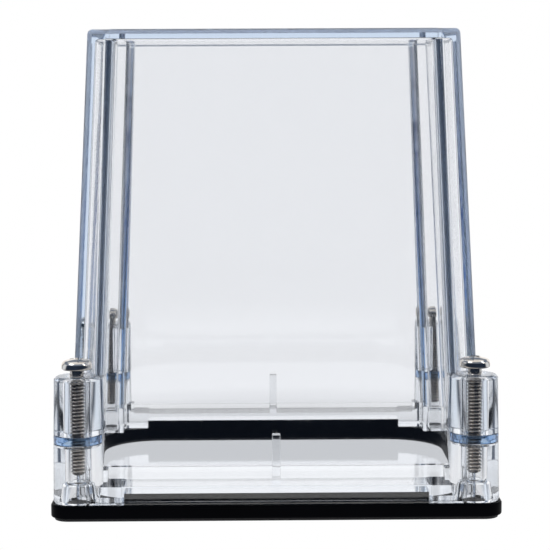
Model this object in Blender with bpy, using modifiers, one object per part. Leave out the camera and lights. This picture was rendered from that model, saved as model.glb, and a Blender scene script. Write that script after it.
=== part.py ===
"""Clear screw-down protective cover on a black mounting base.

Metres, +Z up, front toward -Y, origin at the bottom centre.
A tapered clear cover with four notched corners stands on a clear spacer frame,
which stands on a black base plate with a thin gasket below it.
Four pan head screws with retaining washers hold the cover down at the corners.
"""
import math

import bmesh
import bpy
from mathutils import Matrix, Vector

MM = 0.001

# ---- driving dimensions, millimetres ---------------------------------------
PIN = 59.55                 # screw axis, both ways from the centre
GAP = 0.3                   # clearance between neighbouring pieces

# base plate and gasket
BASE_HALF = 67.6
BASE_CORNER = 5.4
GASKET_INSET = 1.1
GASKET_T = 0.6
BASE_Z0 = GASKET_T + GAP
BASE_Z1 = 4.9
OPEN_X = 59.5
OPEN_Y = 52.7
OPEN_CORNER = 19.0
STRIP_X = 45.6              # raised strips along the front and rear of the base
STRIP_Y = 64.0
STRIP_TOP = 7.7

# spacer frame
FRAME_Z0 = BASE_Z1 + GAP
FLANGE_HALF = 66.5
FLANGE_T = 0.8
STEP_TOP = 10.0             # flange where it is carried over the strips
FRAME_TOP = 13.8
POST_SPLIT = 22.6
POST_R_FOOT = 7.6
POST_R_TOP = 6.96
RIB_TOP = 24.1

# cover
COVER_Z0 = FRAME_TOP + GAP
COVER_TOP = 146.0
POST_TOP = 42.9
WALL = 2.4
ROOF = 2.9
BODY_FOOT = (56.3, 54.0)    # half sizes of the central body at its foot
BODY_HEAD = (50.6, 46.6)    # and at the top
WING_FOOT = (63.4, 45.6)    # half sizes of the side wings at their foot
WING_HEAD = (56.4, 44.0)    # and at the top
EDGE_R = 2.2                # outer edges of the cover
ROOM_R = 0.9                # inner edges of the cover

# screws and washers
HEAD_R = 4.6
HEAD_H = 3.4
HEAD_Z0 = 44.9
SHANK_R = 2.38
SHANK_LEN = 31.75
BORE_R = 2.78
COUNTER_R = 4.35
COUNTER_Z1 = POST_SPLIT + GAP + 2.4
COUNTER_Z0 = 21.5
CORE_R = 3.6
CORE_Z1 = 11.3
WASHER_Z0 = 23.95
WASHER_T = 1.0
WASHER_R = 4.0
WASHER_BORE = 2.7

CORNERS = {
    "front_left": (-1, -1),
    "front_right": (1, -1),
    "rear_left": (-1, 1),
    "rear_right": (1, 1),
}

# ---- scene -----------------------------------------------------------------
for leftover in list(bpy.data.objects):
    bpy.data.objects.remove(leftover, do_unlink=True)

parts = bpy.data.collections.new("protective_cover")
tools = bpy.data.collections.new("cutters")
bpy.context.scene.collection.children.link(parts)
bpy.context.scene.collection.children.link(tools)


def material(name, colour, roughness, metallic=0.0, alpha=1.0):
    mat = bpy.data.materials.new(name)
    mat.use_nodes = True
    node = mat.node_tree.nodes["Principled BSDF"]
    node.inputs["Base Color"].default_value = (*colour, 1.0)
    node.inputs["Roughness"].default_value = roughness
    node.inputs["Metallic"].default_value = metallic
    node.inputs["Alpha"].default_value = alpha
    mat.diffuse_color = (*colour, alpha)
    return mat


def as_object(name, bm, where, mat=None):
    bmesh.ops.recalc_face_normals(bm, faces=bm.faces)
    mesh = bpy.data.meshes.new(name)
    bm.to_mesh(mesh)
    bm.free()
    obj = bpy.data.objects.new(name, mesh)
    where.objects.link(obj)
    if mat is not None:
        mesh.materials.append(mat)
    if where is tools:
        obj.hide_render = True
        obj.display_type = "WIRE"
    return obj


def add_tapered(bm, foot, head, z0, z1, radius=0.0, segments=3):
    """Box centred on the axis whose foot and head have their own half sizes.

    A radius rounds the upright edges and the edges of the head; the foot stays sharp.
    """
    new = bmesh.ops.create_cube(bm, size=2.0)["verts"]
    for v in new:
        half = head if v.co.z > 0 else foot
        v.co = Vector((v.co.x * half[0], v.co.y * half[1], z1 if v.co.z > 0 else z0)) * MM
    if radius:
        low = z0 * MM + 1e-6
        edges = [e for e in bm.edges if not all(v.co.z < low for v in e.verts)]
        bmesh.ops.bevel(bm, geom=edges, offset=radius * MM, segments=segments,
                        profile=0.5, affect="EDGES", offset_type="OFFSET")


def add_box(bm, x0, x1, y0, y1, z0, z1):
    new = bmesh.ops.create_cube(bm, size=1.0)["verts"]
    size = Matrix.Diagonal(((x1 - x0) * MM, (y1 - y0) * MM, (z1 - z0) * MM, 1.0))
    centre = Matrix.Translation(Vector(((x0 + x1) / 2, (y0 + y1) / 2, (z0 + z1) / 2)) * MM)
    bmesh.ops.transform(bm, matrix=centre @ size, verts=new)


def add_cone(bm, r0, r1, z0, z1, x=0.0, y=0.0, segments=40):
    spot = Matrix.Translation(Vector((x, y, (z0 + z1) / 2)) * MM)
    bmesh.ops.create_cone(bm, cap_ends=True, segments=segments, radius1=r0 * MM,
                          radius2=r1 * MM, depth=(z1 - z0) * MM, matrix=spot)


def boolean(obj, operand, operation):
    mod = obj.modifiers.new(operation.lower() + "_" + operand.name, "BOOLEAN")
    mod.object = operand
    mod.operation = operation
    mod.solver = "EXACT"
    return mod


def bevel(obj, width, segments, angle=30.0):
    mod = obj.modifiers.new("round", "BEVEL")
    mod.width = width * MM
    mod.segments = segments
    mod.limit_method = "ANGLE"
    mod.angle_limit = math.radians(angle)
    return mod


def lerp(a, b, t):
    return a + (b - a) * t


def outline(foot, head, z):
    """Half sizes of a tapered box of the cover at height z."""
    t = (z - COVER_Z0) / (COVER_TOP - COVER_Z0)
    return (lerp(foot[0], head[0], t), lerp(foot[1], head[1], t))


def inset(half, by):
    return (half[0] - by, half[1] - by)


def post_radius(z):
    return lerp(POST_R_FOOT, POST_R_TOP, (z - BASE_Z1) / (POST_TOP - BASE_Z1))


def rounded_plate(name, hx, hy, corner, z0, z1, where, mat=None, segments=8):
    """Plate with rounded vertical corners only."""
    bm = bmesh.new()
    add_box(bm, -hx, hx, -hy, hy, z0, z1)
    upright = [e for e in bm.edges if abs(e.verts[0].co.z - e.verts[1].co.z) > 1e-5]
    bmesh.ops.bevel(bm, geom=upright, offset=corner * MM, segments=segments,
                    profile=0.5, affect="EDGES", offset_type="OFFSET")
    return as_object(name, bm, where, mat)


clear = material("clear_cover", (0.86, 0.92, 0.97), 0.06, alpha=0.35)
clear_frame = material("clear_frame", (0.78, 0.87, 0.95), 0.08, alpha=0.45)
black = material("black_base", (0.012, 0.012, 0.013), 0.42)
foam = material("black_gasket", (0.02, 0.02, 0.02), 0.85)
nickel = material("nickel_screw", (0.62, 0.58, 0.52), 0.22, metallic=1.0)
nylon = material("nylon_washer", (0.86, 0.88, 0.88), 0.35, alpha=0.75)

# ---- base plate and gasket ---------------------------------------------------
base = rounded_plate("base_plate", BASE_HALF, BASE_HALF, BASE_CORNER, BASE_Z0, BASE_Z1, parts, black)
bm = bmesh.new()
for sy in (-1, 1):
    ys = sorted((sy * 48.0, sy * STRIP_Y))
    add_box(bm, -STRIP_X, STRIP_X, ys[0], ys[1], BASE_Z1 - 2.0, STRIP_TOP)
base_strips = as_object("base_strips", bm, tools)
boolean(base, base_strips, "UNION")
base_hole = rounded_plate("base_opening", OPEN_X, OPEN_Y, OPEN_CORNER, -3.0, 9.0, tools, segments=14)
boolean(base, base_hole, "DIFFERENCE")
bevel(base, 0.45, 2, 60.0)

gasket = rounded_plate("base_gasket", BASE_HALF - GASKET_INSET, BASE_HALF - GASKET_INSET,
                       BASE_CORNER - GASKET_INSET, 0.0, GASKET_T, parts, foam)
boolean(gasket, base_hole, "DIFFERENCE")

# ---- spacer frame --------------------------------------------------------------
frame = rounded_plate("spacer_frame", FLANGE_HALF, FLANGE_HALF, 5.0, FRAME_Z0,
                      FRAME_Z0 + FLANGE_T, parts, clear_frame)

body_at = outline(BODY_FOOT, BODY_HEAD, FRAME_TOP)
wing_at = outline(WING_FOOT, WING_HEAD, FRAME_TOP)
bm = bmesh.new()
add_tapered(bm, body_at, body_at, FRAME_Z0, FRAME_TOP)
frame_body = as_object("frame_body", bm, tools)
bm = bmesh.new()
add_tapered(bm, wing_at, wing_at, FRAME_Z0, FRAME_TOP)
frame_wing = as_object("frame_wing", bm, tools)

bm = bmesh.new()
for sx, sy in CORNERS.values():
    add_cone(bm, post_radius(FRAME_Z0), post_radius(POST_SPLIT), FRAME_Z0, POST_SPLIT,
             sx * PIN, sy * PIN)
frame_posts = as_object("frame_posts", bm, tools)

bm = bmesh.new()
for sx, sy in CORNERS.values():
    xs = sorted((sx * 50.9, sx * PIN))
    ys = sorted((sy * 52.6, sy * PIN))
    add_box(bm, xs[0], xs[1], ys[0], ys[1], FRAME_Z0, FRAME_TOP)
frame_webs = as_object("frame_webs", bm, tools)

# flange carried over the strips of the base
bm = bmesh.new()
for sy in (-1, 1):
    ys = sorted((sy * 52.5, sy * (STRIP_Y + 0.1)))
    add_box(bm, -STRIP_X - 1.9, STRIP_X + 1.9, ys[0], ys[1], FRAME_Z0, STEP_TOP)
frame_steps = as_object("frame_steps", bm, tools)
bm = bmesh.new()
for sy in (-1, 1):
    ys = sorted((sy * 48.0, sy * (STRIP_Y + GAP)))
    add_box(bm, -STRIP_X - GAP, STRIP_X + GAP, ys[0], ys[1], 3.0, STRIP_TOP + GAP)
strip_rooms = as_object("strip_rooms", bm, tools)

# centre ribs: upright beside the wall of the cover, with a foot along the flange
bm = bmesh.new()
for sy in (-1, 1):
    ys = sorted((sy * 54.35, sy * 56.6))
    add_box(bm, -1.25, 1.25, ys[0], ys[1], STEP_TOP - 1.0, RIB_TOP)
frame_ribs = as_object("frame_ribs", bm, tools)
bm = bmesh.new()
for sy in (-1, 1):
    ys = sorted((sy * 53.0, sy * 55.2))
    add_box(bm, -1.25, 1.25, ys[0], ys[1], STEP_TOP - 1.0, FRAME_TOP - 0.1)
frame_rib_feet = as_object("frame_rib_feet", bm, tools)
bm = bmesh.new()
for sy in (-1, 1):
    ys = sorted((sy * 55.0, sy * 63.6))
    add_box(bm, -1.25, 1.25, ys[0], ys[1], STEP_TOP - 1.0, STEP_TOP + 1.3)
frame_rib_toes = as_object("frame_rib_toes", bm, tools)

# blocks beside the posts
bm = bmesh.new()
for sx, sy in CORNERS.values():
    xs = sorted((sx * 46.2, sx * 53.2))
    ys = sorted((sy * 53.2, sy * 65.6))
    add_box(bm, xs[0], xs[1], ys[0], ys[1], FRAME_Z0, 10.2)
frame_blocks = as_object("frame_blocks", bm, tools)

bm = bmesh.new()
add_tapered(bm, inset(body_at, WALL), inset(body_at, WALL), 0.0, 30.0)
frame_room_a = as_object("frame_room_body", bm, tools)
bm = bmesh.new()
add_tapered(bm, inset(wing_at, WALL), inset(wing_at, WALL), -1.0, 31.0)
frame_room_b = as_object("frame_room_wing", bm, tools)

bm = bmesh.new()
for sx, sy in CORNERS.values():
    add_cone(bm, BORE_R, BORE_R, 8.0, POST_SPLIT + 3.0, sx * PIN, sy * PIN, 32)
frame_bores = as_object("frame_bores", bm, tools)
bm = bmesh.new()
for sx, sy in CORNERS.values():
    add_cone(bm, CORE_R + 0.3, CORE_R - 0.5, 4.0, CORE_Z1, sx * PIN, sy * PIN, 32)
frame_cores = as_object("frame_cores", bm, tools)
bm = bmesh.new()
for sx, sy in CORNERS.values():
    add_cone(bm, COUNTER_R, COUNTER_R, COUNTER_Z0, POST_SPLIT + 2.0, sx * PIN, sy * PIN, 36)
frame_counters = as_object("frame_counterbores", bm, tools)

for operand in (frame_body, frame_wing, frame_posts, frame_webs, frame_steps, frame_rib_feet,
                frame_ribs, frame_rib_toes, frame_blocks):
    boolean(frame, operand, "UNION")
for operand in (frame_room_a, frame_room_b, frame_bores, frame_cores, frame_counters, strip_rooms):
    boolean(frame, operand, "DIFFERENCE")

# ---- cover -----------------------------------------------------------------------
bm = bmesh.new()
add_tapered(bm, BODY_FOOT, BODY_HEAD, COVER_Z0, COVER_TOP, EDGE_R, 4)
cover = as_object("cover", bm, parts, clear)
bm = bmesh.new()
add_tapered(bm, WING_FOOT, WING_HEAD, COVER_Z0, COVER_TOP, EDGE_R, 4)
cover_wing = as_object("cover_wing", bm, tools)
boolean(cover, cover_wing, "UNION")

# the room inside, cut with the same taper
below = COVER_Z0 - 12.0
roof = COVER_TOP - ROOF
bm = bmesh.new()
add_tapered(bm, inset(outline(BODY_FOOT, BODY_HEAD, below), WALL),
            inset(outline(BODY_FOOT, BODY_HEAD, roof), WALL), below, roof, ROOM_R, 2)
room = as_object("cover_room", bm, tools)
bm = bmesh.new()
add_tapered(bm, inset(outline(WING_FOOT, WING_HEAD, below), WALL),
            inset(outline(WING_FOOT, WING_HEAD, roof), WALL), below, roof, ROOM_R, 2)
room_wing = as_object("cover_room_wing", bm, tools)
boolean(room, room_wing, "UNION")
boolean(cover, room, "DIFFERENCE")

# clear the upper ends of the frame's posts
bm = bmesh.new()
for sx, sy in CORNERS.values():
    add_cone(bm, post_radius(FRAME_Z0) + 0.35, post_radius(FRAME_Z0) + 0.35, 5.0,
             POST_SPLIT + GAP, sx * PIN, sy * PIN)
post_notches = as_object("post_notches", bm, tools)
boolean(cover, post_notches, "DIFFERENCE")

bm = bmesh.new()
for sx, sy in CORNERS.values():
    add_cone(bm, post_radius(POST_SPLIT + GAP), POST_R_TOP, POST_SPLIT + GAP, POST_TOP,
             sx * PIN, sy * PIN)
cover_posts = as_object("cover_posts", bm, tools)
bm = bmesh.new()
for sx, sy in CORNERS.values():
    xs = sorted((sx * 51.8, sx * PIN))
    ys = sorted((sy * 51.6, sy * PIN))
    add_box(bm, xs[0], xs[1], ys[0], ys[1], POST_SPLIT + GAP, POST_TOP)
cover_webs = as_object("cover_webs", bm, tools)
boolean(cover, cover_posts, "UNION")
boolean(cover, cover_webs, "UNION")

bm = bmesh.new()
for sx, sy in CORNERS.values():
    add_cone(bm, BORE_R, BORE_R, 15.0, POST_TOP + 4.0, sx * PIN, sy * PIN, 32)
cover_bores = as_object("cover_bores", bm, tools)
bm = bmesh.new()
for sx, sy in CORNERS.values():
    add_cone(bm, COUNTER_R, COUNTER_R, 14.5, COUNTER_Z1, sx * PIN, sy * PIN, 36)
cover_counters = as_object("cover_counterbores", bm, tools)
boolean(cover, cover_bores, "DIFFERENCE")
boolean(cover, cover_counters, "DIFFERENCE")


# ---- screws and washers -----------------------------------------------------------
def lathe(name, profile, x, y, steps, where, mat=None):
    """Turn a closed half profile (radius, height) about the vertical axis."""
    mesh = bpy.data.meshes.new(name)
    points = [(r * MM, 0.0, z * MM) for r, z in profile]
    edges = [(i, i + 1) for i in range(len(points) - 1)]
    mesh.from_pydata(points, edges, [])
    mesh.update()
    obj = bpy.data.objects.new(name, mesh)
    obj.location = (x * MM, y * MM, 0.0)
    where.objects.link(obj)
    mod = obj.modifiers.new("turn", "SCREW")
    mod.axis = "Z"
    mod.angle = math.radians(360.0)
    mod.steps = steps
    mod.render_steps = steps
    mod.use_merge_vertices = True
    mod.merge_threshold = 0.00001
    mod.use_normal_calculate = True
    if mat is not None:
        mesh.materials.append(mat)
    return obj


def screw_profile():
    tip = HEAD_Z0 - SHANK_LEN
    crown = []
    for i in range(7):
        a = math.radians(90.0 * i / 6)
        crown.append((HEAD_R - 1.5 * (1 - math.cos(a)), HEAD_Z0 + 1.35 + (HEAD_H - 1.65) * math.sin(a)))
    up = ([(0.0, tip), (SHANK_R - 0.55, tip), (SHANK_R, tip + 0.75),
           (SHANK_R, HEAD_Z0 - 0.2), (SHANK_R + 0.2, HEAD_Z0), (HEAD_R - 0.12, HEAD_Z0),
           (HEAD_R, HEAD_Z0 + 0.12)] + crown + [(0.0, HEAD_Z0 + HEAD_H)])
    return up[::-1]


top = HEAD_Z0 + HEAD_H
for corner, (sx, sy) in CORNERS.items():
    x, y = sx * PIN, sy * PIN
    screw = lathe("screw_" + corner, screw_profile(), x, y, 36, parts, nickel)

    bm = bmesh.new()
    for turn in (0.0, 90.0):
        new = bmesh.ops.create_cube(bm, size=2.0)["verts"]
        for v in new:
            long_half = 2.35 if v.co.z > 0 else 1.0
            thin_half = 0.5 if v.co.z > 0 else 0.34
            v.co = Vector((v.co.x * long_half, v.co.y * thin_half,
                           top + 0.6 if v.co.z > 0 else top - 1.95)) * MM
        bmesh.ops.rotate(bm, verts=new, cent=(0.0, 0.0, 0.0),
                         matrix=Matrix.Rotation(math.radians(turn + 12.0), 3, "Z"))
        if turn == 0.0:
            bmesh.ops.recalc_face_normals(bm, faces=bm.faces)
            cross_a = as_object("drive_a_" + corner, bm, tools)
            cross_a.location = (x * MM, y * MM, 0.0)
            bm = bmesh.new()
    cross_b = as_object("drive_b_" + corner, bm, tools)
    cross_b.location = (x * MM, y * MM, 0.0)
    boolean(screw, cross_a, "DIFFERENCE")
    boolean(screw, cross_b, "DIFFERENCE")

    washer = lathe("retaining_washer_" + corner,
                   [(WASHER_BORE, WASHER_Z0 + WASHER_T), (WASHER_R - 0.15, WASHER_Z0 + WASHER_T),
                    (WASHER_R, WASHER_Z0 + WASHER_T - 0.15), (WASHER_R, WASHER_Z0 + 0.15),
                    (WASHER_R - 0.15, WASHER_Z0), (WASHER_BORE, WASHER_Z0),
                    (WASHER_BORE, WASHER_Z0 + WASHER_T)],
                   x, y, 32, parts, nylon)
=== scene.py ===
"""Clear screw-down protective cover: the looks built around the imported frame."""
import math

import bmesh
import bpy
from mathutils import Matrix, Vector


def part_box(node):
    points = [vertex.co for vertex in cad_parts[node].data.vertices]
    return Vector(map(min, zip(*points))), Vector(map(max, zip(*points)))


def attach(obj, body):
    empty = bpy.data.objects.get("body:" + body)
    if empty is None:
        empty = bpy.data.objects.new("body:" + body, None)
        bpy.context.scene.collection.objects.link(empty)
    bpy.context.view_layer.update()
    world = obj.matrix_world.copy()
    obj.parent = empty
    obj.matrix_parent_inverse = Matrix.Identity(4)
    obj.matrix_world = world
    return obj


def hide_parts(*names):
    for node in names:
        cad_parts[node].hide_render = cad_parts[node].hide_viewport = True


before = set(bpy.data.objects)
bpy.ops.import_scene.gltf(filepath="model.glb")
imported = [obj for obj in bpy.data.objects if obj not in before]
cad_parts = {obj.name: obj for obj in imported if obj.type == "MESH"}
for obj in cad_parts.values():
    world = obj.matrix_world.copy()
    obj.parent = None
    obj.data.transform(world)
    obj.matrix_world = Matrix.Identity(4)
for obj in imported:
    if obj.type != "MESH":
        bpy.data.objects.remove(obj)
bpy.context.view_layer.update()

scene = bpy.context.scene
MM = 0.001

CORNERS = {"front_left": (-1, -1), "front_right": (1, -1),
           "rear_left": (-1, 1), "rear_right": (1, 1)}


# ---- sizes, in millimetres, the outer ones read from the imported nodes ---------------
def node_box(name):
    low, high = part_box(name)
    return [v / MM for v in low], [v / MM for v in high]


low, high = node_box("base_plate")
BASE_HALF, STRIP_TOP = high[0], high[2]
GASKET_HALF = node_box("base_gasket")[1][0]
low, high = node_box("cover")
COVER_Z0, COVER_TOP = low[2], high[2]
low, high = node_box("screw_front_right")
PIN = (low[0] + high[0]) / 2                # each screw axis, from the middle, both ways
HEAD_R = (high[0] - low[0]) / 2
HEAD_TOP, TIP_Z = high[2], low[2]

GASKET_TOP = 0.83
BASE_Z0, BASE_Z1 = 0.85, 4.9
OPEN_X, OPEN_Y, OPEN_CORNER = 59.5, 52.7, 19.0      # opening of the base
STRIP_X, STRIP_Y = 45.6, 63.1               # raised strips along the front and rear
LIP = 1.4                                   # what shows of the front strip
FRAME_Z0 = BASE_Z1 + 0.06
FOOT_IN = FRAME_Z0 + 0.2                    # what stands on the flange starts inside it
FLANGE_HALF, FLANGE_T = 66.5, 0.55
STEP_TOP = 10.0                             # flange where it is carried over the strips
STEP_IN, STEP_OUT = 52.5, 64.1
BLOCK_TOP = 10.2                            # blocks beside the posts
FRAME_TOP = 13.8
RIB_HALF, RIB_TOP = 1.25, 24.1
SPLIT = 22.75                               # between the halves of the posts
COLLAR_TOP = 25.3
POST_TOP = 42.9
POST_R_FOOT, POST_R_TOP = 7.6, 6.96
WALL, ROOF = 2.4, 2.9
BODY_FOOT, BODY_HEAD = (56.3, 54.0), (50.6, 46.6)
WING_FOOT, WING_HEAD = (63.4, 45.6), (56.4, 44.0)
SHELL_LOW, SHELL_HIGH = (1.1, 0.9, 0.9), (1.5, 0.8, 0.8)    # corner, front fillet, rear fillet
ROOM_LOW, ROOM_HIGH = (1.4, 2.8, 1.5), (1.2, 1.4, 0.9)
SHELL_EDGE, ROOM_EDGE = 1.45, 1.0           # rounding below the top
HEAD_Z0 = 44.9
PITCH = 1.058
CREST_R, ROOT_R, SHANK_R = 2.36, 1.78, 2.08
BORE_R = 2.7
COUNTER_R = 4.3
CORE_R, CORE_TOP, CORE_ROUND = 3.1, 11.3, 1.6       # hollow under each screw tip
WASHER_Z0, WASHER_H = 23.95, 1.05

WING_CORNER, FILLET, BODY_CORNER = 0, 1, 2          # parts of the cover's plan
# slots 1 and 2 carry the painted reflections on the inner fillets, slot 3 the painted highlight on
# the outer edges
SLOT_FRONT_FILLET_PAINTED_DARK, SLOT_REAR_FILLET_PAINTED_BLUE, SLOT_EDGE_HIGHLIGHT = 1, 2, 3    # the cover's extra materials


# ---- materials -----------------------------------------------------------------
def new_material(name):
    mat = bpy.data.materials.new(name)
    mat.use_nodes = True
    nt = mat.node_tree
    return mat, nt, nt.nodes["Principled BSDF"]


def grey(v):
    return (v, v, v)


def noise(nt, scale, detail, rough, coords):
    n = nt.nodes.new("ShaderNodeTexNoise")
    n.inputs["Scale"].default_value = scale
    n.inputs["Detail"].default_value = detail
    n.inputs["Roughness"].default_value = rough
    nt.links.new(coords, n.inputs["Vector"])
    return n.outputs["Fac"]


def ramp(nt, fac, stops):
    r = nt.nodes.new("ShaderNodeValToRGB")
    while len(r.color_ramp.elements) < len(stops):
        r.color_ramp.elements.new(0.5)
    for e, (pos, col) in zip(r.color_ramp.elements, stops):
        e.position = pos
        e.color = (*col, 1.0)
    nt.links.new(fac, r.inputs["Fac"])
    return r.outputs["Color"]


def bump(nt, height, strength, distance, bsdf):
    b = nt.nodes.new("ShaderNodeBump")
    b.inputs["Strength"].default_value = strength
    b.inputs["Distance"].default_value = distance
    nt.links.new(height, b.inputs["Height"])
    nt.links.new(b.outputs["Normal"], bsdf.inputs["Normal"])


def position(nt):
    return nt.nodes.new("ShaderNodeTexCoord").outputs["Object"]


def split_xyz(nt, coords):
    sep = nt.nodes.new("ShaderNodeSeparateXYZ")
    nt.links.new(coords, sep.inputs[0])
    return sep.outputs


def math_node(nt, op, a, b=None):
    n = nt.nodes.new("ShaderNodeMath")
    n.operation = op
    for i, v in enumerate((a, b)):
        if v is None:
            continue
        if isinstance(v, (int, float)):
            n.inputs[i].default_value = v
        else:
            nt.links.new(v, n.inputs[i])
    return n.outputs[0]


def rgb(nt, col):
    n = nt.nodes.new("ShaderNodeRGB")
    n.outputs[0].default_value = (*col, 1.0)
    return n.outputs[0]


def mix(nt, fac, a, b):
    n = nt.nodes.new("ShaderNodeMix")
    n.data_type = "RGBA"
    for key, v in ((0, fac), (6, a), (7, b)):
        nt.links.new(v, n.inputs[key])
    return n.outputs[2]


def map_range(nt, v, a, b, to_a=0.0, to_b=1.0):
    n = nt.nodes.new("ShaderNodeMapRange")
    n.clamp = True
    for key, x in (("From Min", a), ("From Max", b), ("To Min", to_a), ("To Max", to_b)):
        n.inputs[key].default_value = x
    nt.links.new(v, n.inputs["Value"])
    return n.outputs["Result"]


def length_xy(nt, x, y):
    return math_node(nt, "SQRT", math_node(nt, "ADD", math_node(nt, "MULTIPLY", x, x),
                                           math_node(nt, "MULTIPLY", y, y)))


def pin_distance(nt, co):
    """Distance from the nearest screw axis."""
    xyz = split_xyz(nt, co)
    legs = [math_node(nt, "SUBTRACT", math_node(nt, "ABSOLUTE", xyz[axis]), PIN * MM)
            for axis in (0, 1)]
    return length_xy(nt, *legs)


DEPTH_TINT, DEPTH_DENSITY = (0.42, 0.60, 0.80), 9.0
POST_ROUGH = 0.07
POST_REACH = (7.8, 8.0)                     # the posts are rougher, out to this radius


def clear_plastic(name, tint, depth_tint=DEPTH_TINT, density=DEPTH_DENSITY, rough=0.015, clear=1.0):
    """Moulded clear plastic: faint flow waves, hairline wear and a colour that grows with depth."""
    mat, nt, b = new_material(name)
    b.inputs["Base Color"].default_value = (*tint, 1.0)
    b.inputs["Transmission Weight"].default_value = clear
    b.inputs["IOR"].default_value = 1.57
    co = position(nt)
    bump(nt, noise(nt, 38.0, 1.0, 0.4, co), 0.35, 0.00006, b)
    haze = ramp(nt, noise(nt, 260.0, 4.0, 0.6, co), [(0.35, grey(rough)), (0.8, grey(rough * 3.2))])
    post = map_range(nt, pin_distance(nt, co), POST_REACH[0] * MM, POST_REACH[1] * MM, 1.0, 0.0)
    nt.links.new(mix(nt, post, haze, rgb(nt, grey(POST_ROUGH))), b.inputs["Roughness"])
    vol = nt.nodes.new("ShaderNodeVolumeAbsorption")
    vol.inputs["Color"].default_value = (*depth_tint, 1.0)
    vol.inputs["Density"].default_value = density
    nt.links.new(vol.outputs["Volume"], nt.nodes["Material Output"].inputs["Volume"])
    return mat


def black_plastic():
    """Satin black: faint clouding and a fine moulded grain."""
    mat, nt, b = new_material("base_black")
    co = position(nt)
    cloud = noise(nt, 22.0, 3.0, 0.55, co)
    black = ramp(nt, cloud, [(0.3, (0.0008, 0.0009, 0.0014)), (0.75, (0.0020, 0.0023, 0.0036))])
    nt.links.new(black, b.inputs["Base Color"])
    nt.links.new(ramp(nt, cloud, [(0.3, grey(0.30)), (0.75, grey(0.46))]), b.inputs["Roughness"])
    bump(nt, noise(nt, 900.0, 3.0, 0.6, co), 0.25, 0.00005, b)
    b.inputs["Specular IOR Level"].default_value = 0.02
    return mat


def foam_black():
    """Closed-cell foam."""
    mat, nt, b = new_material("gasket_foam")
    cells = nt.nodes.new("ShaderNodeTexVoronoi")
    cells.inputs["Scale"].default_value = 1500.0
    nt.links.new(position(nt), cells.inputs["Vector"])
    distance = cells.outputs["Distance"]
    nt.links.new(ramp(nt, distance, [(0.0, (0.004, 0.004, 0.0045)), (0.6, (0.014, 0.014, 0.016))]),
                 b.inputs["Base Color"])
    b.inputs["Roughness"].default_value = 0.8
    bump(nt, distance, 0.5, 0.00012, b)
    return mat


def nickel():
    """Nickel plate, light on the crests and the head, with painted shade darkening the roots of the
    thread.
    """
    mat, nt, b = new_material("screw_nickel")
    b.inputs["Metallic"].default_value = 1.0
    co = position(nt)
    cloud = noise(nt, 420.0, 3.0, 0.6, co)
    plate = ramp(nt, cloud, [(0.25, (0.60, 0.55, 0.49)), (0.7, (0.76, 0.72, 0.67))])
    # the dark colour in the roots of the thread is painted shade, the crests and the head are left
    # without it
    crest = map_range(nt, pin_distance(nt, co), ROOT_R * MM, (CREST_R - 0.08) * MM)
    head = map_range(nt, split_xyz(nt, co)[2], (HEAD_Z0 - 0.1) * MM, HEAD_Z0 * MM)
    clear_of_root_shade = math_node(nt, "MAXIMUM", crest, head)
    nt.links.new(mix(nt, clear_of_root_shade, rgb(nt, (0.21, 0.18, 0.16)), plate), b.inputs["Base Color"])
    nt.links.new(ramp(nt, cloud, [(0.25, grey(0.06)), (0.8, grey(0.15))]), b.inputs["Roughness"])
    bump(nt, noise(nt, 2600.0, 2.0, 0.5, co), 0.12, 0.00003, b)
    return mat


def nylon():
    """Natural nylon, cloudy and half clear."""
    mat, nt, b = new_material("washer_nylon")
    cloud = noise(nt, 300.0, 2.0, 0.5, position(nt))
    nt.links.new(ramp(nt, cloud, [(0.3, (0.90, 0.92, 0.93)), (0.7, (0.97, 0.98, 0.98))]),
                 b.inputs["Base Color"])
    b.inputs["Transmission Weight"].default_value = 0.85
    b.inputs["IOR"].default_value = 1.45
    b.inputs["Roughness"].default_value = 0.16
    return mat


cover_mat = clear_plastic("cover_clear", (0.90, 0.905, 0.915))
# painted reflections on the inner fillets: the near-black tint at the front is a painted dark
# reflection, the blue-grey tint at the rear a painted blue-grey reflection
front_fillet_painted_dark_mat = clear_plastic("cover_fillet_front_painted_dark", (0.009, 0.013, 0.022))
rear_fillet_painted_blue_mat = clear_plastic("cover_fillet_rear_painted_blue", (0.55, 0.64, 0.76))
# the edges are rougher, and partly opaque pale blue-white, which is a painted highlight
edge_painted_highlight_mat = clear_plastic("cover_edge_painted_highlight", (0.92, 0.955, 1.0), rough=0.30, clear=0.80)
frame_mat = clear_plastic("frame_clear", (0.93, 0.935, 0.94), (0.42, 0.58, 0.80), 7.0, rough=0.02)
collar_mat = clear_plastic("collar_clear", (0.62, 0.76, 0.90), (0.25, 0.45, 0.72), 120.0,
                           rough=0.05)
base_mat, gasket_mat, screw_mat, washer_mat = black_plastic(), foam_black(), nickel(), nylon()


# ---- mesh tools ------------------------------------------------------------------
def to_object(name, bm, mat=None):
    bmesh.ops.recalc_face_normals(bm, faces=bm.faces)
    mesh = bpy.data.meshes.new(name)
    bm.to_mesh(mesh)
    bm.free()
    obj = bpy.data.objects.new(name, mesh)
    scene.collection.objects.link(obj)
    if mat is not None:
        mesh.materials.append(mat)
    return obj


def add_box(bm, x, y, z, bevel=0.0):
    """Box from pairs of limits, in any order; bevel rounds all its edges."""
    (x0, x1), (y0, y1), (z0, z1) = sorted(x), sorted(y), sorted(z)
    new = bmesh.ops.create_cube(bm, size=1.0)["verts"]
    size = Matrix.Diagonal(((x1 - x0) * MM, (y1 - y0) * MM, (z1 - z0) * MM, 1.0))
    centre = Matrix.Translation(Vector(((x0 + x1) / 2, (y0 + y1) / 2, (z0 + z1) / 2)) * MM)
    bmesh.ops.transform(bm, matrix=centre @ size, verts=new)
    if bevel:
        edges = list(dict.fromkeys(e for v in new for e in v.link_edges))
        bmesh.ops.bevel(bm, geom=edges, offset=bevel * MM, segments=3, profile=0.5,
                        affect="EDGES", offset_type="OFFSET")


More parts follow.
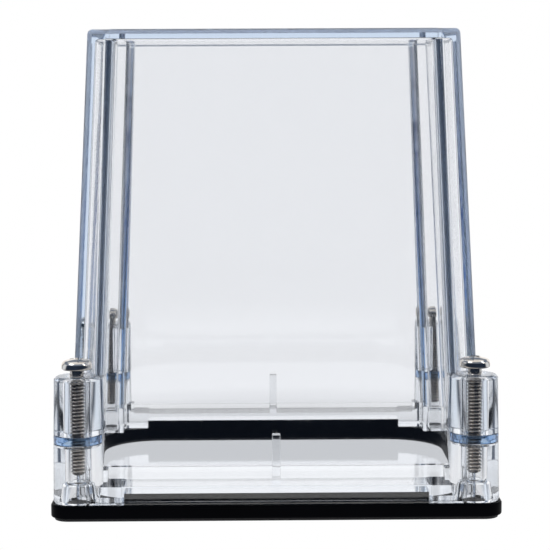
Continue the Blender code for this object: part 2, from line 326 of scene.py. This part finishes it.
def corner_boxes(x, y, z, bevel=0.0):
    """A box at each corner, from its limits at the rear right one."""
    bm = bmesh.new()
    for sx, sy in CORNERS.values():
        add_box(bm, (sx * x[0], sx * x[1]), (sy * y[0], sy * y[1]), z, bevel)
    return bm


def end_boxes(half_x, y, z, bevel=0.0):
    """A box along the front and one along the rear, from the limits at the rear."""
    bm = bmesh.new()
    for sy in (-1, 1):
        add_box(bm, (-half_x, half_x), (sy * y[0], sy * y[1]), z, bevel)
    return bm


def add_turned(bm, profile, x, y, steps):
    """Closed solid turned from (radius, height) pairs; an end radius of 0 closes on the axis."""
    rings = []
    for r, z in profile:
        if r < 1e-6:
            rings.append([bm.verts.new(Vector((x, y, z)) * MM)])
        else:
            rings.append([bm.verts.new(Vector((x + r * math.cos(math.tau * i / steps),
                                               y + r * math.sin(math.tau * i / steps), z)) * MM)
                          for i in range(steps)])
    closed = profile[0] == profile[-1] and len(rings[0]) > 1
    if closed:
        for v in rings[-1]:
            bm.verts.remove(v)
        rings[-1] = rings[0]
    for a, b in zip(rings, rings[1:]):
        for i in range(steps):
            j = (i + 1) % steps
            if len(a) == 1 and len(b) > 1:
                bm.faces.new((a[0], b[i], b[j]))
            elif len(b) == 1 and len(a) > 1:
                bm.faces.new((a[i], a[j], b[0]))
            elif len(a) > 1 and len(b) > 1:
                bm.faces.new((a[i], a[j], b[j], b[i]))
    if not closed:
        for ring in (rings[0], rings[-1]):
            if len(ring) > 1:
                bm.faces.new(ring)


def turned(profile, sx=0, sy=0, steps=72):
    """One turned solid, on the screw axis of a corner or, at 0, 0, in the middle."""
    bm = bmesh.new()
    add_turned(bm, profile, sx * PIN, sy * PIN, steps)
    return bm


def turned_at_pins(profile, steps):
    """The same turned solid on every screw axis."""
    bm = bmesh.new()
    for sx, sy in CORNERS.values():
        add_turned(bm, profile, sx * PIN, sy * PIN, steps)
    return bm


def arc(r, z, radius, a0, a1, n):
    """Points of a rounded corner centred at (r, z), angles in degrees from +r."""
    return [(r + radius * math.cos(math.radians(a0 + (a1 - a0) * i / n)),
             z + radius * math.sin(math.radians(a0 + (a1 - a0) * i / n))) for i in range(n + 1)]


def apply_modifiers(obj):
    deps = bpy.context.evaluated_depsgraph_get()
    mesh = bpy.data.meshes.new_from_object(obj.evaluated_get(deps))
    obj.modifiers.clear()
    old, obj.data = obj.data, mesh
    bpy.data.meshes.remove(old)


def cut(obj, operand_bm, operation="DIFFERENCE"):
    """Boolean with a throwaway operand, applied at once."""
    operand = to_object("operand", operand_bm)
    mod = obj.modifiers.new("b", "BOOLEAN")
    mod.object, mod.operation, mod.solver = operand, operation, "EXACT"
    apply_modifiers(obj)
    bpy.data.objects.remove(operand, do_unlink=True)


def soften(obj, width, angle, segments):
    """Round the sharp edges that are left, then apply."""
    mod = obj.modifiers.new("r", "BEVEL")
    mod.width, mod.segments, mod.limit_method = width * MM, segments, "ANGLE"
    mod.angle_limit = math.radians(angle)
    mod.use_clamp_overlap = True
    mod.harden_normals = False
    apply_modifiers(obj)


def clean(obj, near=0.004):
    """Weld doubled points and drop the faces that this leaves without area."""
    bm = bmesh.new()
    bm.from_mesh(obj.data)
    bmesh.ops.remove_doubles(bm, verts=bm.verts, dist=near * MM)
    bmesh.ops.dissolve_degenerate(bm, edges=bm.edges, dist=near * MM)
    loose = [v for v in bm.verts if not v.link_faces]
    bmesh.ops.delete(bm, geom=loose, context="VERTS")
    bm.to_mesh(obj.data)
    bm.free()


def smooth(obj, angle=28.0):
    """Clean the mesh, then shade it smooth with normals that stay true on large flat faces."""
    clean(obj)
    obj.data.shade_smooth()
    obj.data.set_sharp_from_angle(angle=math.radians(angle))
    mod = obj.modifiers.new("n", "WEIGHTED_NORMAL")
    mod.mode, mod.weight, mod.keep_sharp = "FACE_AREA", 100, True
    apply_modifiers(obj)


def lerp(a, b, t):
    return a + (b - a) * t


def outline(foot, head, z):
    t = (z - COVER_Z0) / (COVER_TOP - COVER_Z0)
    return (lerp(foot[0], head[0], t), lerp(foot[1], head[1], t))


def inset(half, by):
    return (half[0] - by, half[1] - by)


def post_r(z):
    return lerp(POST_R_FOOT, POST_R_TOP, (z - BASE_Z1) / (POST_TOP - BASE_Z1))


def rounded_slab(hx, hy, corner, z0, z1, edge=0.0, segments=16):
    """Flat slab with rounded corners in plan; edge rounds its rims."""
    bm = bmesh.new()
    add_box(bm, (-hx, hx), (-hy, hy), (z0, z1))
    upright = [e for e in bm.edges if abs(e.verts[0].co.z - e.verts[1].co.z) > 1e-5]
    bmesh.ops.bevel(bm, geom=upright, offset=corner * MM, segments=segments,
                    profile=0.5, affect="EDGES", offset_type="OFFSET")
    if edge:
        rim = [e for e in bm.edges
               if len(e.link_faces) == 2 and e.calc_face_angle(0.0) > math.radians(60)]
        bmesh.ops.bevel(bm, geom=rim, offset=edge * MM, segments=4, profile=0.5,
                        affect="EDGES", offset_type="OFFSET")
    return bm


# ---- clear cover ------------------------------------------------------------------
def plus_outline(body, wing, corner, front_fillet, rear_fillet, n=8):
    """Plus-shaped plan with rounded corners and hollow fillets, as (x, y, part of the plan)."""
    (bx, by), (wx, wy) = body, wing

    def quarter(fillet):
        arcs = ((WING_CORNER, arc(wx - corner, wy - corner, corner, 0, 90, n)),
                (FILLET, arc(bx + fillet, wy + fillet, fillet, 270, 180, n)),
                (BODY_CORNER, arc(bx - corner, by - corner, corner, 0, 90, n)))
        return [(x, y, part) for part, points in arcs for x, y in points]

    rear, front = quarter(rear_fillet), quarter(front_fillet)
    return (rear + [(-x, y, part) for x, y, part in reversed(rear)]
            + [(-x, -y, part) for x, y, part in front]
            + [(x, -y, part) for x, y, part in reversed(front)])


def shell_slot(a, b, row):
    """Outside, the wing corners, the rear body corners and the top edge are edges, which carry a
    painted highlight.
    """
    same_arc = a[2] == b[2] and math.dist(a[:2], b[:2]) < 0.6
    corner = a[2] == WING_CORNER or (a[2] == BODY_CORNER and a[1] > 0)
    return SLOT_EDGE_HIGHLIGHT if row or (same_arc and corner) else 0


def room_slot(a, b, row):
    """Inside, the fillets have their own materials: a painted dark reflection at the front, a
    painted blue-grey reflection at the rear.
    """
    if a[2] != FILLET or b[2] != FILLET:
        return 0
    return SLOT_FRONT_FILLET_PAINTED_DARK if a[1] < 0 else SLOT_REAR_FILLET_PAINTED_BLUE


def plus_prism(z0, z1, by, low_radii, high_radii, top_edge, slot_of):
    """Tapered plus-shaped solid, set in by the given amount, with a rounded top edge."""
    bm = bmesh.new()
    levels = [(z0, 0.0, low_radii)]
    for k in range(7):
        turn = math.radians(15.0 * k)
        levels.append((z1 - top_edge * (1 - math.sin(turn)), top_edge * (1 - math.cos(turn)),
                       high_radii))
    loops = []
    for z, extra, (corner, front_fillet, rear_fillet) in levels:
        plan = plus_outline(inset(outline(BODY_FOOT, BODY_HEAD, z), by + extra),
                            inset(outline(WING_FOOT, WING_HEAD, z), by + extra),
                            corner - extra, front_fillet + extra, rear_fillet + extra)
        loops.append([bm.verts.new(Vector((x, y, z)) * MM) for x, y, part in plan])
    count = len(plan)
    for row, (low_loop, high_loop) in enumerate(zip(loops, loops[1:])):
        for i in range(count):
            j = (i + 1) % count
            face = bm.faces.new((low_loop[i], low_loop[j], high_loop[j], high_loop[i]))
            face.material_index = slot_of(plan[i], plan[j], row)
    bm.faces.new(loops[0])
    bm.faces.new(loops[-1])
    return bm


cover = to_object("cover_shell", plus_prism(COVER_Z0 - 0.25, COVER_TOP, 0.0, SHELL_LOW, SHELL_HIGH,
                                            SHELL_EDGE, shell_slot), cover_mat)
for extra_mat in (front_fillet_painted_dark_mat, rear_fillet_painted_blue_mat, edge_painted_highlight_mat):
    cover.data.materials.append(extra_mat)
cut(cover, plus_prism(COVER_Z0 - 12.0, COVER_TOP - ROOF, WALL, ROOM_LOW, ROOM_HIGH,
                      ROOM_EDGE, room_slot))

notch_r = post_r(5.0) + 0.35                # round the lower halves of the posts
cut(cover, turned_at_pins([(0, 4.0), (notch_r, 4.0), (notch_r, COLLAR_TOP), (0, COLLAR_TOP)], 96))
cut(cover, turned_at_pins([(0, COLLAR_TOP + 0.05)]
                          + arc(post_r(COLLAR_TOP) - 0.25, COLLAR_TOP + 0.3, 0.25, -90, 0, 3)
                          + arc(POST_R_TOP - 1.3, POST_TOP - 1.3, 1.3, 0, 90, 8)
                          + [(0, POST_TOP)], 96), "UNION")
cut(cover, corner_boxes((51.8, PIN - 1.5), (51.6, PIN - 0.9),           # webs to the posts
                        (COLLAR_TOP + 0.3, POST_TOP - 0.9), 0.7), "UNION")
cut(cover, turned_at_pins([(0, 15.0), (BORE_R, 15.0), (BORE_R, POST_TOP - 0.5),
                           (BORE_R + 0.9, POST_TOP + 0.6), (0, POST_TOP + 0.6)], 72))
soften(cover, 0.35, 60.0, 2)
smooth(cover)
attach(cover, "cover")
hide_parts("cover")

# ---- collars at the split of the posts ----------------------------------------------
collar_r = post_r(24.0) - 0.2
for corner, (sx, sy) in CORNERS.items():
    profile = ([(COUNTER_R, SPLIT)] + arc(collar_r, SPLIT + 0.2, 0.2, -90, 0, 3)
               + arc(collar_r, COLLAR_TOP - 0.25, 0.2, 0, 90, 3)
               + [(COUNTER_R, COLLAR_TOP - 0.05), (COUNTER_R, SPLIT)])
    collar = to_object("post_collar_" + corner, turned(profile, sx, sy, 96), collar_mat)
    smooth(collar)
    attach(collar, "cover")

# ---- clear spacer frame ---------------------------------------------------------------
body_at = outline(BODY_FOOT, BODY_HEAD, FRAME_TOP)
wing_at = outline(WING_FOOT, WING_HEAD, FRAME_TOP)


def upright_prism(half, z0, z1, corner):
    return rounded_slab(half[0], half[1], corner, z0, z1, 0.0, 6)


frame_obj = to_object("frame_shell", rounded_slab(FLANGE_HALF, FLANGE_HALF, 5.0,
                                                  FRAME_Z0, FRAME_Z0 + FLANGE_T), frame_mat)
cut(frame_obj, upright_prism(body_at, FOOT_IN, FRAME_TOP, 2.2), "UNION")
cut(frame_obj, upright_prism(wing_at, FOOT_IN, FRAME_TOP, 2.2), "UNION")
cut(frame_obj, turned_at_pins([(0, FOOT_IN), (post_r(FOOT_IN), FOOT_IN)]
                              + arc(post_r(SPLIT) - 0.25, SPLIT - 0.35, 0.25, 0, 90, 3)
                              + [(0, SPLIT - 0.1)], 96), "UNION")
RIB_FOOT = STEP_TOP - 1.0
for added in (
        # webs to the posts, steps over the strips, roots, toes and uprights of the ribs, blocks
        corner_boxes((50.9, PIN - 1.5), (52.6, PIN - 0.9), (FOOT_IN, FRAME_TOP)),
        end_boxes(STRIP_X + 1.9, (STEP_IN, STEP_OUT), (FOOT_IN, STEP_TOP)),
        end_boxes(RIB_HALF, (53.0, 55.6), (RIB_FOOT, FRAME_TOP - 0.1)),
        end_boxes(RIB_HALF, (55.0, 63.6), (RIB_FOOT, STEP_TOP + 1.3)),
        end_boxes(RIB_HALF, (54.35, 56.6), (RIB_FOOT, RIB_TOP), 0.3),
        corner_boxes((46.2, 53.2), (53.2, 65.6), (FOOT_IN, BLOCK_TOP))):
    cut(frame_obj, added, "UNION")
cut(frame_obj, upright_prism(inset(body_at, WALL), 0.0, 30.0, 0.9))
cut(frame_obj, end_boxes(STRIP_X + 0.1, (48.0, STRIP_Y + 0.1), (3.0, STRIP_TOP + 0.06)))
cut(frame_obj, upright_prism(inset(wing_at, WALL), -1.0, 31.0, 0.9))
thread_room = CREST_R + 0.12
core_dome = arc(CORE_R - CORE_ROUND, CORE_TOP - CORE_ROUND, CORE_ROUND, 0, 80, 6)
cut(frame_obj, turned_at_pins([(0, 3.0), (3.9, 3.0)] + core_dome
                              + [(thread_room, CORE_TOP), (thread_room, SPLIT - 1.3),
                                 (COUNTER_R, SPLIT - 1.3), (COUNTER_R, SPLIT + 2),
                                 (0, SPLIT + 2)], 72))
smooth(frame_obj)
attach(frame_obj, "base")
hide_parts("spacer_frame")

# ---- black base plate and gasket --------------------------------------------------------
base = to_object("base_ring", rounded_slab(BASE_HALF, BASE_HALF, 5.4, BASE_Z0, BASE_Z1, 0.6),
                 base_mat)
cut(base, end_boxes(STRIP_X, (48.0, STRIP_Y), (BASE_Z1 - 2.0, STRIP_TOP)), "UNION")
bm = bmesh.new()                            # leaves only the outer lip of the front strip
add_box(bm, (-STRIP_X - 5, STRIP_X + 5), (-STRIP_Y + LIP, -45.0), (BASE_Z1, STRIP_TOP + 3.0))
cut(base, bm)
cut(base, rounded_slab(OPEN_X, OPEN_Y, OPEN_CORNER, -3.0, 9.0, 0.0, 28))
soften(base, 0.35, 60.0, 3)
smooth(base, 35.0)
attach(base, "base")
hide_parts("base_plate")

gasket = to_object("gasket_ring", rounded_slab(GASKET_HALF, GASKET_HALF, 4.4, 0.0,
                                               GASKET_TOP, 0.15), gasket_mat)
cut(gasket, rounded_slab(OPEN_X + 0.4, OPEN_Y + 0.4, OPEN_CORNER, -3.0, 9.0, 0.0, 28))
smooth(gasket, 35.0)
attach(gasket, "base")
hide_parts("base_gasket")


# ---- screws ---------------------------------------------------------------------------------
def thread_mesh(name, z0, z1, z_full, around=48, per_pitch=12):
    """A helical thread as one closed surface: the radius follows the phase along the helix."""
    bm = bmesh.new()
    rows = int(round((z1 - z0) / PITCH * per_pitch))
    grid = []
    for k in range(rows + 1):
        z = z0 + (z1 - z0) * k / rows
        ring = []
        for i in range(around):
            a = math.tau * i / around
            phase = ((z - z0) / PITCH - i / around) % 1.0
            wave = 1.0 - abs(2.0 * phase - 1.0)
            crest = min(1.0, max(0.0, (wave - 0.08) / 0.78))
            r = lerp(ROOT_R, CREST_R, crest)
            r = min(r, SHANK_R - 0.75 + (z - z0) * 1.25)      # pointed lead at the tip
            if z > z_full:                                    # runs out into the plain neck
                r = lerp(r, SHANK_R, min(1.0, (z - z_full) / 0.5))
            ring.append(bm.verts.new(Vector((r * math.cos(a), r * math.sin(a), z)) * MM))
        grid.append(ring)
    for a, b in zip(grid, grid[1:]):
        for i in range(around):
            j = (i + 1) % around
            bm.faces.new((a[i], a[j], b[j], b[i]))
    bm.faces.new(grid[0])
    bm.faces.new(grid[-1])
    return to_object(name, bm, screw_mat)


def make_screw(name, turn):
    """Pan head machine screw with a cross recess, on the middle axis, turned by some degrees."""
    screw = thread_mesh(name, TIP_Z, HEAD_Z0 + 0.25, HEAD_Z0 - 2.4)
    profile = ([(0, HEAD_Z0), (SHANK_R + 0.35, HEAD_Z0)]
               + arc(HEAD_R - 0.45, HEAD_Z0 + 0.45, 0.45, -80, 0, 4)
               + arc(HEAD_R - 1.45, HEAD_Z0 + 1.35, 1.45, 6, 62, 7))
    r_end, z_end = profile[-1]
    dome = 9
    for i in range(1, dome + 1):
        t = i / dome
        profile.append((r_end * (1 - t) if i < dome else 0.0,
                        z_end + (HEAD_TOP - z_end) * (1 - (1 - t) ** 2)))
    cut(screw, turned(profile), "UNION")
    for quarter in (0.0, 90.0):                 # the two tapered slots of the cross
        bm = bmesh.new()
        new = bmesh.ops.create_cube(bm, size=2.0)["verts"]
        for v in new:
            upper = v.co.z > 0
            long_half, thin_half = (2.45, 0.52) if upper else (0.95, 0.36)
            v.co = Vector((v.co.x * long_half, v.co.y * thin_half,
                           HEAD_TOP + 0.5 if upper else HEAD_TOP - 2.0)) * MM
        bmesh.ops.rotate(bm, verts=new, cent=(0, 0, 0),
                         matrix=Matrix.Rotation(math.radians(quarter), 3, "Z"))
        cut(screw, bm)
    cut(screw, turned([(0, HEAD_TOP - 2.3), (0.9, HEAD_TOP - 1.75), (1.35, HEAD_TOP + 0.3),
                       (0, HEAD_TOP + 0.3)], steps=24))
    screw.data.transform(Matrix.Rotation(math.radians(turn), 4, "Z"))
    smooth(screw, 40.0)
    return screw


SCREW_TURNS = (12.0, 34.0, 61.0, 5.0)
for turn, (corner, (sx, sy)) in zip(SCREW_TURNS, CORNERS.items()):
    screw = make_screw("machine_screw_" + corner, turn)
    screw.data.transform(Matrix.Translation(Vector((sx * PIN, sy * PIN, 0.0)) * MM))
    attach(screw, "screw_" + corner)
    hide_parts("screw_" + corner)

    profile = ([(2.5, WASHER_Z0), (3.8, WASHER_Z0)] + arc(3.85, WASHER_Z0 + 0.2, 0.2, -80, 0, 3)
               + arc(3.85, WASHER_Z0 + WASHER_H - 0.2, 0.2, 0, 80, 3)
               + [(2.5, WASHER_Z0 + WASHER_H), (2.5, WASHER_Z0)])
    washer = to_object("captive_washer_" + corner, turned(profile, sx, sy), washer_mat)
    smooth(washer, 40.0)
    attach(washer, "washer_" + corner)
    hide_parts("retaining_washer_" + corner)

# ---- floor and studio -------------------------------------------------------------------
# Seen directly, the floor and the air are plain white. In the plastic and the metal they are a
# studio: white behind and beside the table, dark blue-grey between them and in front, and a large
# soft box overhead. Angles are in radians from straight behind.
BACK_OPEN = (0.95, 1.15)
SIDE_OPEN = (1.15, 1.30, 1.75, 1.95)
WHITE = (1.0, 1.0, 1.0)
BACK = (1.20, 1.20, 1.21)
SIDE = (0.84, 0.90, 0.98)
FLAG = (0.022, 0.034, 0.060)
FLAG_HIGH = (0.22, 0.27, 0.36)
FLOOR_NEAR = (0.93, 0.93, 0.94)
NEAR_REACH = (0.105, 0.17)                  # in metres, from the middle
# painted shade: the floor within the opening of the base glows greyer than around it
FLOOR_INSIDE_SHADE = (0.70, 0.715, 0.74)          # within the opening of the base
FLOOR_HALF = 60.0                           # in metres


def surround(nt, x, y):
    """How far each direction belongs to the white back and to the white sides."""
    az = math_node(nt, "ABSOLUTE", math_node(nt, "ARCTAN2", x, y))
    back = map_range(nt, az, BACK_OPEN[0], BACK_OPEN[1], 1.0, 0.0)
    side = math_node(nt, "MULTIPLY", map_range(nt, az, SIDE_OPEN[0], SIDE_OPEN[1]),
                     map_range(nt, az, SIDE_OPEN[2], SIDE_OPEN[3], 1.0, 0.0))
    return back, side


def white_when_seen(nt, colour):
    direct = nt.nodes.new("ShaderNodeLightPath").outputs["Is Camera Ray"]
    return mix(nt, direct, colour, rgb(nt, WHITE))


floor_mat, nt, b = new_material("studio_floor")
px, py = split_xyz(nt, position(nt))[:2]
inside = math_node(nt, "MULTIPLY",
                   math_node(nt, "LESS_THAN", math_node(nt, "ABSOLUTE", px), (OPEN_X + 0.7) * MM),
                   math_node(nt, "LESS_THAN", math_node(nt, "ABSOLUTE", py), (OPEN_Y + 0.7) * MM))
near = map_range(nt, length_xy(nt, px, py), NEAR_REACH[0], NEAR_REACH[1], 1.0, 0.0)
back, side = surround(nt, px, py)
tone = mix(nt, back, mix(nt, side, rgb(nt, FLAG), rgb(nt, SIDE)), rgb(nt, BACK))
tone = mix(nt, near, tone, rgb(nt, FLOOR_NEAR))
# within the opening the floor takes the painted shade; its gloss, set below, is real
tone = white_when_seen(nt, mix(nt, inside, tone, rgb(nt, FLOOR_INSIDE_SHADE)))
b.inputs["Base Color"].default_value = (0, 0, 0, 1)
nt.links.new(math_node(nt, "MULTIPLY", inside, 0.6), b.inputs["Specular IOR Level"])
nt.links.new(map_range(nt, inside, 0.0, 1.0, 0.75, 0.06), b.inputs["Roughness"])
nt.links.new(tone, b.inputs["Emission Color"])
b.inputs["Emission Strength"].default_value = 1.0
bm = bmesh.new()
bmesh.ops.create_grid(bm, x_segments=1, y_segments=1, size=FLOOR_HALF)
floor = to_object("studio_floor", bm, floor_mat)

world = bpy.data.worlds.new("studio")
scene.world = world
world.use_nodes = True
nt = world.node_tree
wx, wy, up = split_xyz(nt, nt.nodes.new("ShaderNodeTexCoord").outputs["Generated"])
back, side = surround(nt, wx, wy)
back = math_node(nt, "MULTIPLY", back, map_range(nt, up, 0.45, 0.55, 1.0, 0.0))
side = math_node(nt, "MULTIPLY", side, map_range(nt, up, 0.30, 0.40, 1.0, 0.0))
flags = mix(nt, map_range(nt, up, 0.20, 0.34), rgb(nt, FLAG), rgb(nt, FLAG_HIGH))
air = mix(nt, back, mix(nt, side, flags, rgb(nt, SIDE)), rgb(nt, BACK))
air = mix(nt, map_range(nt, up, 0.74, 0.82), air, rgb(nt, WHITE))
nt.links.new(white_when_seen(nt, air), nt.nodes["Background"].inputs["Color"])
nt.nodes["Background"].inputs["Strength"].default_value = 1.0


def area(name, at, target, size, energy):
    light = bpy.data.lights.new(name, "AREA")
    light.shape, light.size, light.size_y = "RECTANGLE", size[0], size[1]
    light.energy = energy
    obj = bpy.data.objects.new(name, light)
    obj.location = at
    obj.rotation_euler = (Vector(target) - Vector(at)).to_track_quat("-Z", "Y").to_euler()
    scene.collection.objects.link(obj)


area("key", (-0.55, -0.55, 0.75), (0, 0, 0.07), (0.5, 0.5), 2.0)
area("fill", (0.7, -0.35, 0.5), (0, 0, 0.07), (0.2, 0.6), 1.2)

# ---- camera -----------------------------------------------------------------------------
CAMERA_AT = (-5.03, -571.65, 128.27)
SENSOR, LENS = 36.0, 113.362036
YAW, PITCH_DOWN, ROLL = 0.5433, 6.175, -0.25        # degrees

cam_data = bpy.data.cameras.new("camera")
cam_data.sensor_width, cam_data.lens = SENSOR, LENS
cam = bpy.data.objects.new("camera", cam_data)
cam.location = Vector(CAMERA_AT) * MM
cam.rotation_mode = "XYZ"
cam.rotation_euler = (Matrix.Rotation(math.radians(-YAW), 4, "Z")
                      @ Matrix.Rotation(math.radians(90 - PITCH_DOWN), 4, "X")
                      @ Matrix.Rotation(math.radians(ROLL), 4, "Z")).to_euler()
scene.collection.objects.link(cam)
scene.camera = cam

scene.view_settings.view_transform = "Standard"
scene.view_settings.look = "None"
scene.cycles.max_bounces = 48
scene.cycles.transmission_bounces = 48
scene.cycles.glossy_bounces = 8
scene.cycles.diffuse_bounces = 3
